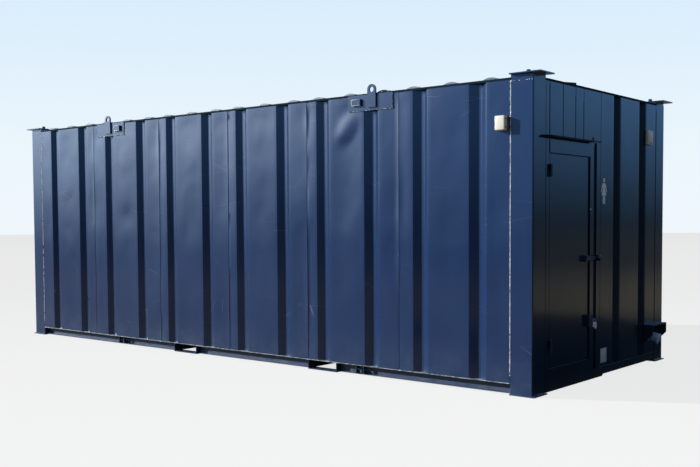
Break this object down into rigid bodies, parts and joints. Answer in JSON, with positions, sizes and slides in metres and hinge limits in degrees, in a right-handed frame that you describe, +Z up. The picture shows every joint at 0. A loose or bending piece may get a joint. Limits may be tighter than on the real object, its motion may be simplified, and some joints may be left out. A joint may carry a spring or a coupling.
{
  "type": "portable site cabin",
  "caption": "Steel portable site cabin with profiled sheet walls, fork pockets, lifting eyes and an outward opening door in one end.",
  "frame": {"origin": "middle of the outer box, on the ground under the foot plates", "axes": "+Z up, +X along the cabin towards the end with the door, -Y out of the front long wall"},
  "size_m": [7.5206, 2.836, 2.7069],
  "materials": {
    "navy_paint": "glossy navy paint, scratched and dusty",
    "base_paint": "navy paint with dirt and rust specks",
    "roof_paint": "weathered navy paint",
    "black_steel": "black paint, worn at edges",
    "lining_board": "white faced board",
    "floor_board": "sealed plywood",
    "lamp_cream": "cream moulded plastic",
    "socket_blue": "blue moulded plastic"
  },
  "bodies": {
    "cabin": {"side_rail_front": "base_paint", "side_rail_back": "base_paint", "end_rail_door": "base_paint", "end_rail_blank": "base_paint", "floor_joists": "base_paint", "fork_pocket_plates": "base_paint", "fork_pocket_straps": "base_paint", "lashing_plates": "base_paint", "foot_plates": "base_paint", "floor_deck": "floor_board", "corner_post_front_door": "navy_paint", "corner_post_back_door": "navy_paint", "corner_post_front_blank": "navy_paint", "corner_post_back_blank": "navy_paint", "post_caps": "navy_paint", "roof_edge": "navy_paint", "front_wall": "navy_paint", "back_wall": "navy_paint", "blank_end_wall": "navy_paint", "door_end_wall": "navy_paint", "front_lining": "lining_board", "back_lining": "lining_board", "blank_end_lining": "lining_board", "door_end_lining_near": "lining_board", "door_end_lining_far": "lining_board", "door_end_lining_over": "lining_board", "door_jamb_hinge": "navy_paint", "door_jamb_lock": "navy_paint", "door_head": "navy_paint", "door_sill": "navy_paint", "door_header_panel": "navy_paint", "drip_strip": "navy_paint", "roof_sheet": "roof_paint", "ceiling": "lining_board", "lifting_plates": "navy_paint", "lifting_eyes": "navy_paint", "front_lamp": "lamp_cream", "end_lamp": "lamp_cream", "inlet_hood": "navy_paint", "inlet_socket": "socket_blue", "hinge_knuckles_fixed": "black_steel"},
    "door": {"hinge_knuckles_moving": "black_steel", "door_leaf": "navy_paint", "latch_bar": "black_steel", "door_lock": "black_steel"}
  },
  "joints": [
    {"name": "door_hinge", "type": "hinge", "parent": "cabin", "child": "door", "pos_m": [3.64799, -1.077, 1.114], "axis": [0, 0, -1], "range_deg": [0, 170]}
  ]
}
